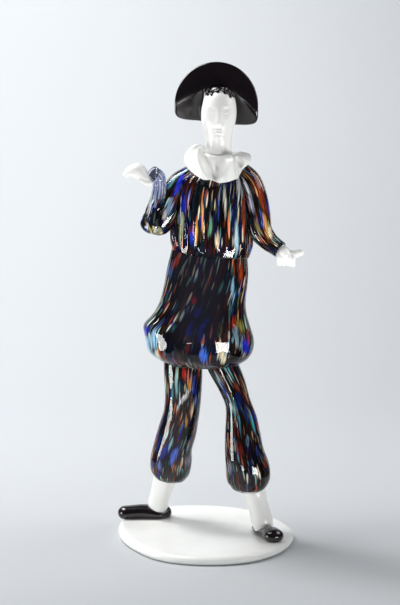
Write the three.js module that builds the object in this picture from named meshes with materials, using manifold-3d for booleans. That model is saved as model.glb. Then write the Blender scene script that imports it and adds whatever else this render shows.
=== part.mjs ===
// A glass carnival figure on a disc, built from the gathers of glass it was made of.
// Millimetres, +Z up. The origin is the middle of the disc's underside and the figure faces -Y.
import * as THREE from 'three';
import { mergeVertices } from 'three/addons/utils/BufferGeometryUtils.js';
import Module from 'manifold-3d';

const wasm = await Module();
wasm.setup();

// Driving dimensions
const fuseGap = 0.3; // room left between two gathers that are fused together
const facetAllowance = 0.4; // extra room where a cut is made by a form with few flat sides
const baseHeight = 7;
const soleHeight = baseHeight + fuseGap;
const ribCount = 26; // upright ribs round the bodice
const ribDepth = 0.7;
const ruffThickness = 3.4;
const brimThickness = 3;
const waistCap = 0.8; // how far the bodice and the skirt are rounded where they meet
const curlRadius = 2.5;

const frontToBack = new THREE.Vector3(0, 1, 0);
const upwards = new THREE.Vector3(0, 0, 1);

// Glass colours
const whiteGlass = { color: 0xf1f1ee, roughness: 0.12, metalness: 0 };
const blackGlass = { color: 0x0c0b0d, roughness: 0.08, metalness: 0 };
const streakedGlass = { color: 0x2b2a3d, roughness: 0.06, metalness: 0 };

// A smooth value between rows of numbers: a cubic through the rows, u from 0 at the first to 1 at the last
function between(rows, u) {
  const last = rows.length - 1;
  const start = Math.min(Math.floor(u * last), last - 1);
  const t = u * last - start;
  return rows[0].map((_, column) => {
    const b = rows[start][column];
    const c = rows[start + 1][column];
    const a = start > 0 ? rows[start - 1][column] : 2 * b - c;
    const d = start + 2 <= last ? rows[start + 2][column] : 2 * c - b;
    const bend = (2 * a - 5 * b + 4 * c - d) * t * t + (3 * b - a - 3 * c + d) * t * t * t;
    return b + 0.5 * ((c - a) * t + bend);
  });
}

// The same for values that go round in a circle, angle in turns
function around(rows, turn) {
  const count = rows.length;
  const place = (((turn % 1) + 1) % 1) * count;
  const start = Math.floor(place);
  const nearest = [-1, 0, 1, 2].map((step) => rows[(start + step + count) % count]);
  return between(nearest, (1 + place - start) / 3);
}

function smoothStep(low, high, value) {
  return THREE.MathUtils.smoothstep(value, low, high);
}

// Points and triangles as a closed solid that can be joined and cut
function solidOf(geometry) {
  geometry.deleteAttribute('normal');
  geometry.deleteAttribute('uv');
  const merged = mergeVertices(geometry, 1e-4);
  const vertProperties = new Float32Array(merged.attributes.position.array);
  const triVerts = new Uint32Array(merged.index.array);
  return new wasm.Manifold(new wasm.Mesh({ numProp: 3, vertProperties, triVerts }));
}

// Rings of equal length joined into a closed skin, with one point at each end
function skin(firstPoint, ringList, lastPoint) {
  const sides = ringList[0].length;
  const points = [firstPoint, ...ringList.flat(), lastPoint];
  const lastIndex = points.length - 1;
  const faces = [];
  for (let j = 0; j < sides; j += 1) {
    const next = (j + 1) % sides;
    faces.push(0, 1 + next, 1 + j);
    for (let k = 0; k < ringList.length - 1; k += 1) {
      const low = 1 + k * sides;
      const high = low + sides;
      faces.push(low + j, low + next, high + next);
      faces.push(low + j, high + next, high + j);
    }
    faces.push(lastIndex - sides + j, lastIndex - sides + next, lastIndex);
  }
  const geometry = new THREE.BufferGeometry().setFromPoints(points);
  geometry.setIndex(faces);
  return geometry;
}

// A gather drawn out along a line. Each row is [x, y, z, half width, half depth, slope]: slope lifts the
// row's ring towards +X. The ends are rounded by caps of the lengths given; a negative cap is a hollow end.
// "level" keeps the rings level, "bunch" crowds their sides towards the front, relief raises or sinks the
// skin, floor flattens it below, and grow swells the whole gather.
function drawnGather(form, grow = 0) {
  const { rows, sides, rings, caps, depthAxis = frontToBack, level = false, bunch = 0 } = form;
  const { relief = () => 0, floor = -Infinity, capRings = 2 } = form;
  const aheadStep = 0.01;
  const spineAt = (u) => new THREE.Vector3(...between(rows, u).slice(0, 3));
  const ringAt = (u, shrink, push, swell = grow) => {
    const [, , , width, depth, slope = 0] = between(rows, u);
    const ahead = spineAt(Math.min(u + aheadStep, 1));
    const behind = spineAt(Math.max(u - aheadStep, 0));
    const along = level ? upwards.clone() : ahead.sub(behind).normalize();
    const deep = depthAxis.clone().addScaledVector(along, -depthAxis.dot(along)).normalize();
    const side = deep.clone().cross(along);
    const centre = spineAt(u).addScaledVector(along, push);
    if (shrink === 0) {
      return centre.setZ(Math.max(centre.z, floor));
    }
    return Array.from({ length: sides }, (_, j) => {
      const turn = (j / sides) * 2 * Math.PI;
      const angle = turn - bunch * Math.cos(turn);
      const extra = swell + relief(u, angle, centre.z);
      const across = shrink * (width + extra) * Math.cos(angle);
      const point = centre.clone().addScaledVector(side, across);
      point.addScaledVector(deep, shrink * (depth + extra) * Math.sin(angle));
      point.addScaledVector(along, slope * across);
      return point.setZ(Math.max(point.z, floor));
    });
  };
  // The rings that close one end, from the body outwards, and the point they close on
  const closeEnd = (u, length, outward) => {
    const hollow = length < 0;
    const list = hollow && grow > 0 ? [ringAt(u, 1, outward * grow)] : [];
    for (let k = capRings; k >= 1; k -= 1) {
      const quarter = (k / (capRings + 1)) * (Math.PI / 2);
      const reach = hollow ? length * Math.cos(quarter) + grow : (length + grow) * Math.cos(quarter);
      list.push(ringAt(u, Math.sin(quarter), outward * reach, hollow ? -grow : grow));
    }
    return { list, tip: ringAt(u, 0, outward * (length + grow)) };
  };
  const start = closeEnd(0, caps[0], -1);
  const end = closeEnd(1, caps[1], 1);
  const body = Array.from({ length: rings + 1 }, (_, k) => ringAt(k / rings, 1, 0));
  return solidOf(skin(start.tip, [...start.list.reverse(), ...body, ...end.list], end.tip));
}

// Base: a poured disc, not quite round, with a full rounded rim. One rim radius for every 30 degrees from +X,
// and the rim's profile as [distance in from that radius, height].
const rimRadii = [68.5, 66.4, 69.4, 71.8, 75.8, 75.4, 68.6, 65.9, 69.4, 70.4, 71.8, 69.9];
const rimProfile = [[3.4, 0], [0.7, 1.1], [0, 3.6], [1.2, 5.9], [4.6, baseHeight]];

function base() {
  const sides = 36;
  const radii = rimRadii.map((radius) => [radius]);
  const ringList = rimProfile.map(([inset, height]) => Array.from({ length: sides }, (_, j) => {
    const radius = around(radii, j / sides)[0] - inset;
    const angle = (j / sides) * 2 * Math.PI;
    return new THREE.Vector3(radius * Math.cos(angle), radius * Math.sin(angle), height);
  }));
  return solidOf(skin(new THREE.Vector3(0, 0, 0), ringList, new THREE.Vector3(0, 0, baseHeight)));
}

// Stockings: rows run from the foot up to the hem of the breeches
const rearShin = {
  rows: [
    [-39.2, 36.4, 12.5, 7.2, 7.2],
    [-38.6, 35.6, 18, 8.3, 8.3],
    [-36.6, 33.4, 27, 8.2, 8.2],
    [-34.4, 30.6, 36, 8.9, 8.9],
    [-32.4, 28.6, 43, 9.6, 9.6],
  ],
  sides: 14, rings: 5, caps: [3.2, 1.5], capRings: 1,
};
const frontShin = {
  rows: [
    [45.4, -9.6, 10.8, 7.4, 7.2],
    [43.6, -8.6, 17.5, 8.5, 8.2],
    [41.4, -6.8, 26, 8.0, 8.0],
    [39.0, -4.6, 34.5, 8.5, 8.4],
    [35.6, -3.0, 44, 10.2, 9.6],
  ],
  sides: 14, rings: 5, caps: [1.6, 1.5], capRings: 1,
};

// Slippers: rows run from heel to toe, with a flat sole on the disc; the stocking is let into them
const rearShoe = {
  rows: [
    [-33.2, 37.2, 10.6, 4.6, 4.2],
    [-38.5, 36.2, 10.2, 8.6, 4.4],
    [-45.5, 35.2, 11.4, 8.2, 5.6],
    [-52, 34.4, 12.3, 6.4, 5.6],
    [-59, 33.6, 11.6, 6.2, 5.0],
    [-65.2, 33.0, 11.4, 6.4, 5.3],
  ],
  sides: 10, rings: 7, caps: [2.8, 5.4], depthAxis: upwards, floor: soleHeight,
};
const frontShoe = {
  rows: [
    [41.2, -4.6, 10.2, 4.4, 3.6],
    [44.6, -9.6, 10.0, 6.4, 4.0],
    [48.2, -16.2, 10.8, 7.4, 5.2],
    [51.0, -21.4, 11.6, 7.4, 6.0],
    [53.2, -25.6, 11.4, 7.5, 5.8],
  ],
  sides: 10, rings: 6, caps: [3.4, 6.6], depthAxis: upwards, floor: soleHeight,
};

// Breeches legs: rows run from the hem up into the tunic
const rearBreeches = {
  rows: [
    [-29.2, 27.6, 42.5, 12.2, 11.6],
    [-28.8, 26.6, 48, 15.6, 14.4],
    [-28.2, 24.2, 58, 16.3, 15.2],
    [-26.4, 20.6, 70, 14.6, 14.2],
    [-22.8, 16.6, 84, 14.4, 13.6],
    [-19.8, 13.0, 98, 13.5, 12.8],
    [-18.3, 9.8, 112, 13.5, 12.4],
    [-18.1, 7.0, 126, 14.4, 12.6],
    [-18.1, 5.0, 141, 15.0, 13.0],
    [-17.6, 4.0, 148, 14.6, 12.6],
  ],
  sides: 16, rings: 9, caps: [-3, 3], capRings: 1,
};
const frontBreeches = {
  rows: [
    [32.6, -3.4, 43, 12.6, 12.0],
    [33.0, -3.6, 49, 16.6, 15.4],
    [32.8, -4.2, 58, 17.1, 16.0],
    [30.4, -5.0, 72, 15.4, 15.0],
    [27.9, -5.6, 86, 13.6, 13.6],
    [25.5, -5.6, 99, 11.3, 12.0],
    [22.6, -5.0, 112, 9.9, 11.2],
    [18.0, -4.0, 126, 11.0, 11.6],
    [12.4, -3.0, 140, 12.2, 12.2],
    [10.2, -2.4, 147, 12.4, 12.2],
  ],
  sides: 16, rings: 9, caps: [-3, 3], capRings: 1,
};

// Tunic skirt: rows run from the closed underside up to the waist, which stands a little higher at -X
const tunicSkirt = {
  rows: [
    [-1.4, 0, 141.4, 25.5, 19.0, 0],
    [-2.6, 0, 145.4, 33.0, 25.4, 0],
    [-4.2, 0, 152, 39.4, 29.8, 0],
    [-5.2, 0, 161, 42.2, 31.4, 0],
    [-5.8, 0, 170, 40.6, 29.6, 0],
    [-4.8, 0, 181, 35.8, 26.6, 0],
    [-2.6, 0, 192, 32.8, 24.6, -0.02],
    [-0.4, 0, 204, 31.8, 23.4, -0.05],
    [1.0, 0, 215, 31.2, 22.6, -0.08],
    [2.3, 0, 226.1, 29.2, 20.8, -0.1],
  ],
  sides: 26, rings: 11, caps: [-5, waistCap], capRings: 1, level: true,
};

// Bodice: rows run from the waist up to the neck, under the ruff, with ribs that fade at both ends
const bodice = {
  rows: [
    [3.6, 0, 228.1, 28.2, 18.8, -0.1],
    [4.4, 0, 236, 31.0, 21.8, -0.06],
    [3.6, 0, 248, 31.0, 21.8, -0.02],
    [3.4, 0, 262, 31.2, 21.6, 0],
    [3.6, 0.4, 275, 31.0, 20.8, 0],
    [5.0, 0.6, 285, 28.6, 18.2, 0],
    [6.8, 0.6, 292, 22.5, 14.4, 0],
    [8.4, -1.6, 297, 13.5, 10.0, 0],
  ],
  sides: 2 * ribCount, rings: 6, caps: [waistCap, 1.0], capRings: 1, level: true,
  relief: (u, angle) => ribDepth * ribFade(u) * Math.cos(ribCount * angle),
};

function ribFade(u) {
  return smoothStep(0, 0.12, u) * (1 - smoothStep(0.86, 1, u));
}

// Sleeves: rows run from the shoulder to the cuff, whose end is hollow and takes the wrist
const raisedUpperArm = {
  rows: [
    [-12, 0, 290, 6.5, 9.0],
    [-20, -1.5, 283, 8.8, 10.5],
    [-26.5, -3, 272.5, 10.4, 10.5],
    [-31.5, -4.5, 261.5, 11.8, 10.6],
    [-37.2, -5.8, 253.8, 11.6, 10.2],
  ],
  sides: 14, rings: 5, caps: [4, 10.6],
};
const raisedForearm = {
  rows: [
    [-41.4, -8, 252.6, 9.4, 9.6],
    [-40.0, -9.5, 262, 7.6, 8.4],
    [-37.6, -11, 273, 6.2, 7.0],
    [-36.0, -11.5, 282, 5.3, 6.0],
    [-38.0, -11.5, 288.2, 6.2, 6.2],
    [-42.4, -11.5, 289.6, 6.9, 6.9],
  ],
  sides: 14, rings: 7, caps: [8.2, -2.2],
};
const loweredSleeve = {
  rows: [
    [24, 0, 291, 7.4, 9.0],
    [31.5, -0.8, 283, 9.2, 10.8],
    [36.0, -2, 271, 9.8, 11.2],
    [38.6, -3.5, 258.5, 9.8, 10.6],
    [41.2, -5.5, 247, 9.0, 9.4],
    [46.6, -8.5, 239.6, 7.8, 8.4],
    [52.0, -11.5, 235.6, 6.8, 7.2],
    [56.4, -13.6, 232.6, 6.5, 6.6],
  ],
  sides: 14, rings: 9, caps: [3.4, -2], capRings: 1,
};

// Raised hand: a flat mitten of four pressed fingers, pointing to -X and drooping, and a thumb below
const raisedHand = {
  rows: [
    [-42.6, -11.5, 289.2, 4.2, 4.4],
    [-47, -11.6, 292.4, 6.2, 5.8],
    [-52, -11.8, 293.6, 6.0, 6.6],
    [-57, -12, 292.6, 4.6, 6.4],
    [-61.5, -12.2, 290.0, 2.2, 4.8],
  ],
  sides: 12, rings: 6, caps: [2.5, 2.2], capRings: 1,
};
const raisedThumb = {
  rows: [
    [-41.6, -15.4, 285.4, 2.6, 2.6],
    [-45.0, -16.6, 285.8, 2.6, 2.6],
    [-48.6, -17.0, 287.4, 2.2, 2.2],
  ],
  sides: 6, rings: 2, caps: [1.6, 2.0], capRings: 1,
};

// Lowered hand: a palm with four curled fingers side by side and the thumb held out to +X
const loweredPalm = {
  rows: [
    [55.6, -13.4, 233, 4.2, 4.2],
    [58.2, -14.6, 231.4, 5.0, 6.0],
    [60.2, -15.6, 229.4, 4.8, 5.4],
  ],
  sides: 10, rings: 2, caps: [1.8, 4.0], capRings: 1,
};
const curledFingers = {
  count: 4,
  spacing: 3.5,
  radius: 2.1,
  lastDrop: 1, // how much lower the last one hangs
  line: [[54.9, -15.8, 231.6], [55.1, -18.4, 228.2], [55.3, -17.2, 223.0]], // the first, from knuckle to tip
};
const loweredThumb = {
  rows: [
    [61.5, -15.5, 230.2, 3.2, 3.2],
    [66.4, -16.4, 230.0, 2.9, 2.9],
    [71.4, -17.2, 231.2, 2.6, 2.6],
  ],
  sides: 6, rings: 2, caps: [2.0, 2.6], capRings: 1,
};

function curledFinger(index) {
  const { count, spacing, radius, lastDrop, line } = curledFingers;
  const drop = index === count - 1 ? lastDrop : 0;
  const rows = line.map(([x, y, z]) => [x + index * spacing, y, z - drop, radius, radius]);
  return drawnGather({ rows, sides: 6, rings: 2, caps: [1.6, 2.0], capRings: 1 });
}

function loweredHand() {
  let hand = drawnGather(loweredPalm).add(drawnGather(loweredThumb));
  for (let index = 0; index < curledFingers.count; index += 1) {
    hand = hand.add(curledFinger(index));
  }
  return hand;
}

// Head: an egg on a long neck, a little drawn back. The face is calm and evenly divided: the eyes half way up
// the head, the nose half way from there to the chin and the mouth under it, all in very low relief.
const chinHeight = 318;
const crownHeight = 358;
const eyeHeight = (chinHeight + crownHeight) / 2;
const noseHeight = (chinHeight + eyeHeight) / 2;
const mouthHeight = (chinHeight + noseHeight) / 2 + 0.6;
const noseRidge = {
  rise: 2.0,
  halfAngle: 0.2,
  foot: noseHeight - 2.2,
  tip: noseHeight + 1.2,
  top: eyeHeight + 5,
};
// The hollows of the eyes and the low swellings of lips and chin, with their angles from the front in radians
const faceFeatures = [
  { rise: -0.9, angle: 0.42, halfAngle: 0.2, height: eyeHeight, halfHeight: 3.2 },
  { rise: 0.6, angle: 0, halfAngle: 0.26, height: mouthHeight, halfHeight: 1.8 },
  { rise: 0.8, angle: 0, halfAngle: 0.4, height: chinHeight, halfHeight: 2.6 },
];

function hump(value, middle, spread) {
  return Math.exp(-(((value - middle) / spread) ** 2));
}

function faceRelief(u, angle, height) {
  const front = angle + Math.PI / 2;
  const fromFront = Math.abs(Math.atan2(Math.sin(front), Math.cos(front)));
  const below = smoothStep(noseRidge.foot, noseRidge.tip, height);
  const above = 1 - smoothStep(noseRidge.tip, noseRidge.top, height);
  const nose = noseRidge.rise * below * above * hump(fromFront, 0, noseRidge.halfAngle);
  return faceFeatures.reduce((sum, feature) => {
    const across = hump(fromFront, feature.angle, feature.halfAngle);
    return sum + feature.rise * across * hump(height, feature.height, feature.halfHeight);
  }, nose);
}

const head = {
  rows: [
    [8.9, -5.0, 300, 10.0, 10.0],
    [8.9, -5.2, 308, 10.0, 10.0],
    [8.8, -5.6, 316, 10.2, 10.6],
    [8.8, -6.2, 323.5, 11.3, 12.0],
    [9.0, -6.6, 331, 13.1, 13.6],
    [9.3, -6.6, 338.5, 13.3, 14.0],
    [9.7, -6.2, 346, 11.9, 12.8],
    [9.8, -5.8, 351, 9.6, 10.6],
    [9.8, -5.6, 354.6, 6.6, 7.6],
  ],
  sides: 22, rings: 15, caps: [1.5, 3.4], capRings: 1, level: true, bunch: 0.55, relief: faceRelief,
};

// Hat: an upright front like a broad arch, folded along its foot, with the crown and a lower back behind it.
// Front and back are depths over one outline. Each is laid out from the middle of the hat, and the front
// bends along a lower arch, from which it falls back to the head on the inside and leans back on the outside.
const hat = {
  centre: [7.4, 342], // x and z of the middle
  halfWidth: 31.9,
  rise: 31.6, // the rim's arch above the middle
  foot: 14.6, // the fold below the middle
  roll: 2.2, // how far the fold drops from the middle to the corner at +X
  leftPower: 4.7, // how square the corner at -X is: 2 is an ellipse
  rightPower: 8.5,
  bendRise: 18.2, // the lower arch above the middle
  bendShare: 0.92, // the lower arch's radius against the rim's at the sides and the foot
  bendDepth: -4.5,
  hollow: 12, // how far the front falls back from the lower arch to the head
  hollowPower: 1.3, // over 1 keeps it nearly flat beside the arch
  sideLean: 1.5, // how far the rim leans back at the sides
  topLean: 7,
  footTurn: 4, // how far the fold turns back at the foot
  footTurnHeight: 6,
  backDepth: 12, // the flat back flap at the foot
  backLean: 0.1,
  flapShare: 0.85, // the back flap's radius against the rim's
  flapDrop: 0.1, // how much lower it is at the top
  flapLimit: 0.93,
  crown: { centre: [2, -3], halfWidth: 18.5, rise: 21, depth: 13 },
  sides: 34,
};

function hatRim(angle) {
  const [x, z] = [Math.cos(angle), Math.sin(angle)];
  if (z >= 0) {
    return 1 / Math.hypot(x / hat.halfWidth, z / hat.rise);
  }
  const power = x < 0 ? hat.leftPower : hat.rightPower;
  const foot = hat.foot + hat.roll * x;
  const reach = (Math.abs(x) / hat.halfWidth) ** power + (Math.abs(z) / foot) ** power;
  return reach ** (-1 / power);
}

function hatBend(angle) {
  const rise = Math.max(Math.sin(angle), 0) / hat.bendRise;
  const arch = 1 / Math.hypot(Math.cos(angle) / (hat.bendShare * hat.halfWidth), rise);
  return Math.min(hat.bendShare * hatRim(angle), arch);
}

// inner runs from 0 at the middle to 1 at the bend, outer from 0 at the bend to 1 at the rim
function hatFront(angle, inner, outer) {
  const radius = inner * hatBend(angle) + outer * (hatRim(angle) - hatBend(angle));
  const height = radius * Math.sin(angle) - hat.roll * Math.cos(angle) * (radius / hat.halfWidth);
  const fold = hat.footTurn * (1 - smoothStep(-hat.foot, -hat.foot + hat.footTurnHeight, height));
  const lean = outer * (hat.sideLean + hat.topLean * Math.max(Math.sin(angle), 0));
  return hat.bendDepth + hat.hollow * (1 - inner) ** hat.hollowPower + lean + fold;
}

function hatBack(angle, share) {
  const radius = share * hatRim(angle);
  const [x, z] = [radius * Math.cos(angle), radius * Math.sin(angle)];
  const { centre, halfWidth, rise, depth } = hat.crown;
  const crown = 1 - Math.hypot((x - centre[0]) / halfWidth, (z - centre[1]) / rise) ** 2;
  const backFlap = hat.backDepth - hat.backLean * (z + hat.foot);
  return Math.max(depth * Math.sqrt(Math.max(crown, 0)), backFlap);
}

function hatSolid() {
  const [middleX, middleZ] = hat.centre;
  const rounding = 0.5; // how much the rim's front and back edges are drawn in
  const point = (angle, radius, depth) => new THREE.Vector3(
    middleX + radius * Math.cos(angle),
    depth,
    middleZ + radius * Math.sin(angle),
  );
  const ring = (place) => Array.from({ length: hat.sides }, (_, j) => place((j / hat.sides) * 2 * Math.PI));
  const inside = (inner) => ring((angle) => point(angle, inner * hatBend(angle), hatFront(angle, inner, 0)));
  const outside = (outer, inset, back) => ring((angle) => {
    const radius = hatBend(angle) + outer * (hatRim(angle) - hatBend(angle)) - inset;
    return point(angle, radius, hatFront(angle, 1, outer) + back);
  });
  const flapShare = (angle) => Math.min(hat.flapShare - hat.flapDrop * Math.sin(angle), hat.flapLimit);
  const inStep = ring((angle) => {
    const radius = (flapShare(angle) + 0.03) * hatRim(angle);
    return point(angle, radius, hatFront(angle, 1, 0.5) + brimThickness);
  });
  const behind = (share) => ring((angle) => {
    const edge = share * flapShare(angle);
    return point(angle, edge * hatRim(angle), hatBack(angle, edge));
  });
  const front = [inside(0.4), inside(0.7), inside(1), outside(0.5, 0, 0)];
  const rim = [
    outside(1, rounding, 0),
    outside(1, 0, brimThickness / 2),
    outside(1, rounding, brimThickness),
  ];
  const back = [inStep, behind(1), behind(0.72), behind(0.45), behind(0.2)];
  const rings = [...front, ...rim, ...back].reverse();
  return solidOf(skin(point(0, 0, hatBack(0, 0)), rings, point(0, 0, hatFront(0, 0, 0))));
}

// Curls: beads of glass set side by side along the brow, parted in the middle
const curlPlaces = [
  [0.9, -9.4, 354.2], [2.9, -12.0, 352.8], [5.4, -12.4, 354.8], [7.2, -10.4, 357.2], [10.0, -9.0, 358.6],
  [12.8, -10.2, 357.2], [14.6, -12.3, 354.9], [17.0, -12.0, 352.9], [19.0, -9.4, 354.0],
];

function curls() {
  const beads = curlPlaces.map(([x, y, z]) => {
    const bead = new THREE.SphereGeometry(curlRadius, 6, 4);
    return solidOf(bead.translate(x, y, z));
  });
  return beads.reduce((whole, bead) => whole.add(bead));
}

// Ruff: a thick wavy sheet round the neck. One row for every 30 degrees from +X:
// [outer radius, height of the outer edge, height at the neck, bulge]
const ruffWaves = [
  [24.5, 299.0, 304.5, 2],
  [26.5, 305.0, 305.5, -0.5],
  [22.0, 301.0, 304.5, 2],
  [20.0, 298.0, 304.5, 3],
  [22.5, 304.0, 306.0, 1],
  [26.5, 305.5, 307.0, 4],
  [26.0, 299.5, 305.5, 2.5],
  [23.5, 293.5, 305.5, 4],
  [21.0, 287.4, 305.5, 4],
  [20.0, 285.4, 305.0, -2],
  [23.0, 288.0, 305.5, 6],
  [20.5, 297.0, 305.0, 2],
];
const ruffCentre = [8.9, -5.5];
const ruffInnerRadius = 10.6;

function ruff() {
  const sides = 40;
  const sectionSides = 8;
  const points = [];
  const faces = [];
  for (let j = 0; j < sides; j += 1) {
    const [outer, edgeHeight, neckHeight, bulge] = around(ruffWaves, j / sides);
    const angle = (j / sides) * 2 * Math.PI;
    const run = outer - ruffInnerRadius;
    for (let k = 0; k < sectionSides; k += 1) {
      const phase = (k / sectionSides) * 2 * Math.PI;
      const t = (1 - Math.cos(phase)) / 2;
      const slope = (edgeHeight - neckHeight + bulge * Math.PI * Math.cos(Math.PI * t)) / run;
      const half = (ruffThickness / 2) * Math.sin(phase);
      const reach = ruffInnerRadius + run * t - half * (slope / Math.hypot(1, slope));
      const height = neckHeight + (edgeHeight - neckHeight) * t + bulge * Math.sin(Math.PI * t);
      points.push(new THREE.Vector3(
        ruffCentre[0] + reach * Math.cos(angle),
        ruffCentre[1] + reach * Math.sin(angle),
        height + half / Math.hypot(1, slope),
      ));
      const here = j * sectionSides;
      const there = ((j + 1) % sides) * sectionSides;
      const after = (k + 1) % sectionSides;
      faces.push(here + k, there + after, there + k);
      faces.push(here + k, here + after, there + after);
    }
  }
  const geometry = new THREE.BufferGeometry().setFromPoints(points);
  geometry.setIndex(faces);
  return solidOf(geometry);
}

// Each gather is cut where its neighbour is let into it, and the fuse gap is left between them
const figure = new THREE.Group();

function addPiece(name, solid, glass) {
  const mesh = solid.getMesh();
  const geometry = new THREE.BufferGeometry();
  geometry.setAttribute('position', new THREE.Float32BufferAttribute(mesh.vertProperties, 3));
  geometry.setIndex(Array.from(mesh.triVerts));
  geometry.computeVertexNormals();
  const piece = new THREE.Mesh(geometry, new THREE.MeshStandardMaterial(glass));
  piece.name = name;
  figure.add(piece);
}

const without = (solid, ...neighbours) => neighbours.reduce((rest, other) => rest.subtract(other), solid);

const raisedSleeve = (grow = 0) => drawnGather(raisedUpperArm, grow).add(drawnGather(raisedForearm, grow));
const raisedMitten = (grow = 0) => drawnGather(raisedHand, grow).add(drawnGather(raisedThumb, grow));
// The sleeves lie on the crests of the ribs; the curls and the hat are hollowed to a plain form of the head
const plainForm = { relief: () => 0, bunch: 0, rings: 9 };
const plainHead = drawnGather({ ...head, ...plainForm, sides: 16 }, fuseGap + facetAllowance);
const ribAllowance = ribDepth + fuseGap + facetAllowance;
const plainBodice = drawnGather({ ...bodice, ...plainForm, sides: ribCount }, ribAllowance);
const grownSkirt = drawnGather(tunicSkirt, fuseGap);
const grownPalm = drawnGather(loweredPalm, fuseGap);

addPiece('base', base(), whiteGlass);
addPiece('rear_shin', without(drawnGather(rearShin), drawnGather(rearBreeches, fuseGap)), whiteGlass);
addPiece('front_shin', without(drawnGather(frontShin), drawnGather(frontBreeches, fuseGap)), whiteGlass);
addPiece('rear_shoe', without(drawnGather(rearShoe), drawnGather(rearShin, fuseGap)), blackGlass);
addPiece('front_shoe', without(drawnGather(frontShoe), drawnGather(frontShin, fuseGap)), blackGlass);
addPiece('rear_breeches', without(drawnGather(rearBreeches), grownSkirt), streakedGlass);
addPiece('front_breeches', without(drawnGather(frontBreeches), grownSkirt), streakedGlass);
addPiece('tunic_skirt', drawnGather(tunicSkirt), streakedGlass);
addPiece('bodice', drawnGather(bodice), streakedGlass);
addPiece('raised_sleeve', without(raisedSleeve(), plainBodice, raisedMitten(fuseGap)), streakedGlass);
addPiece('lowered_sleeve', without(drawnGather(loweredSleeve), plainBodice, grownPalm), streakedGlass);
addPiece('raised_hand', raisedMitten(), whiteGlass);
addPiece('lowered_hand', loweredHand(), whiteGlass);
addPiece('ruff', ruff(), whiteGlass);
addPiece('head', drawnGather(head), whiteGlass);
addPiece('curls', without(curls(), plainHead), blackGlass);
addPiece('hat', without(hatSolid(), plainHead), blackGlass);

export default figure;
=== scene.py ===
import bpy
import numpy as np
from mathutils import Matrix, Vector


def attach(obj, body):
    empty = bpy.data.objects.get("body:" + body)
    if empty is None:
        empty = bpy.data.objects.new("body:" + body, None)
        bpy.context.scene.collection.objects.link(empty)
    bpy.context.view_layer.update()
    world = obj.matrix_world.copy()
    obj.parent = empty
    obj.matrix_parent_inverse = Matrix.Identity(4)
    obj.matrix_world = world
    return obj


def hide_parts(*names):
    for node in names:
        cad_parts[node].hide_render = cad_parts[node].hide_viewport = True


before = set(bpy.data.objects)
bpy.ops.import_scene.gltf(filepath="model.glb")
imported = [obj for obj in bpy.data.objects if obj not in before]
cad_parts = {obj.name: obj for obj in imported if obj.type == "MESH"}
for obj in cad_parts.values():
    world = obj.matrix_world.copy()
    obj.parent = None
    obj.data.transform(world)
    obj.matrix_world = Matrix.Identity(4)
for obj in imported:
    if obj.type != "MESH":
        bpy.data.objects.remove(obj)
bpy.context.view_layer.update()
scene = bpy.context.scene
mm = 0.001
join = np.concatenate
print("frame loaded,", len(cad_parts), "nodes")


def addObject(name, data):
    added = bpy.data.objects.new(name, data)
    scene.collection.objects.link(added)
    return added


# Camera: a long lens on the figure from a little above
camera = {"place": (-5, -1500, 470), "pitch": -10.588, "lens": 117.58, "film": 36, "farthest": 20}


def placeCamera():
    data = bpy.data.cameras.new("camera")
    data.lens = camera["lens"]
    data.sensor_width = camera["film"]
    data.clip_end = camera["farthest"]
    scene.camera = addObject("camera", data)
    scene.camera.location = Vector(camera["place"]) * mm
    scene.camera.rotation_euler = (np.radians(90 + camera["pitch"]), 0, 0)


placeCamera()
print("camera placed")


# Colours and nodes
def linear(hexColour):
    # sRGB hex to linear red, green, blue and a full alpha
    parts = [int(hexColour[i:i + 2], 16) / 255 for i in (1, 3, 5)]
    return [c / 12.92 if c <= 0.04045 else ((c + 0.055) / 1.055) ** 2.4 for c in parts] + [1.0]


def addNode(tree, kind, inputs=None, **settings):
    # one node with its settings, its fixed values and its links
    node = tree.nodes.new("ShaderNode" + kind)
    for name, value in settings.items():
        setattr(node, name, value)
    for name, value in (inputs or {}).items():
        if isinstance(value, bpy.types.NodeSocket):
            tree.links.new(value, node.inputs[name])
        else:
            node.inputs[name].default_value = value
    return node


def calc(tree, operation, *values):
    # one sum on numbers
    return addNode(tree, "Math", dict(enumerate(values)), operation=operation).outputs[0]


def calcVector(tree, operation, *values):
    # one sum on vectors
    return addNode(tree, "VectorMath", dict(enumerate(values)), operation=operation).outputs[0]


def noise(tree, place, scale, detail):
    return addNode(tree, "TexNoise", {"Vector": place, "Scale": scale, "Detail": detail}).outputs


def blend(tree, amount, first, second):
    return addNode(tree, "Mix", {0: amount, 6: first, 7: second}, data_type="RGBA").outputs[2]


def mapRange(tree, value, low, high, start=0.0, end=1.0, **settings):
    inputs = {0: value, 1: low, 2: high, 3: start, 4: end}
    return addNode(tree, "MapRange", inputs, **settings).outputs[0]


def ramp(tree, value, colours, low=0.0, high=1.0):
    # a run of colours in even steps from low to high
    node = addNode(tree, "ValToRGB", {0: value})
    stops = node.color_ramp.elements
    stops.remove(stops[1])
    stops[0].position = low
    for step, hexColour in enumerate(colours):
        place = low + (high - low) * step / (len(colours) - 1)
        stop = stops[0] if step == 0 else stops.new(place)
        stop.color = linear(hexColour)
    return node.outputs[0]


def startMaterial(name):
    material = bpy.data.materials.new(name)
    material.use_nodes = True
    material.node_tree.nodes.clear()
    return material, material.node_tree


def finishMaterial(tree, inputs):
    shader = addNode(tree, "BsdfPrincipled", inputs)
    addNode(tree, "OutputMaterial", {"Surface": shader.outputs[0]})


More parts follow.
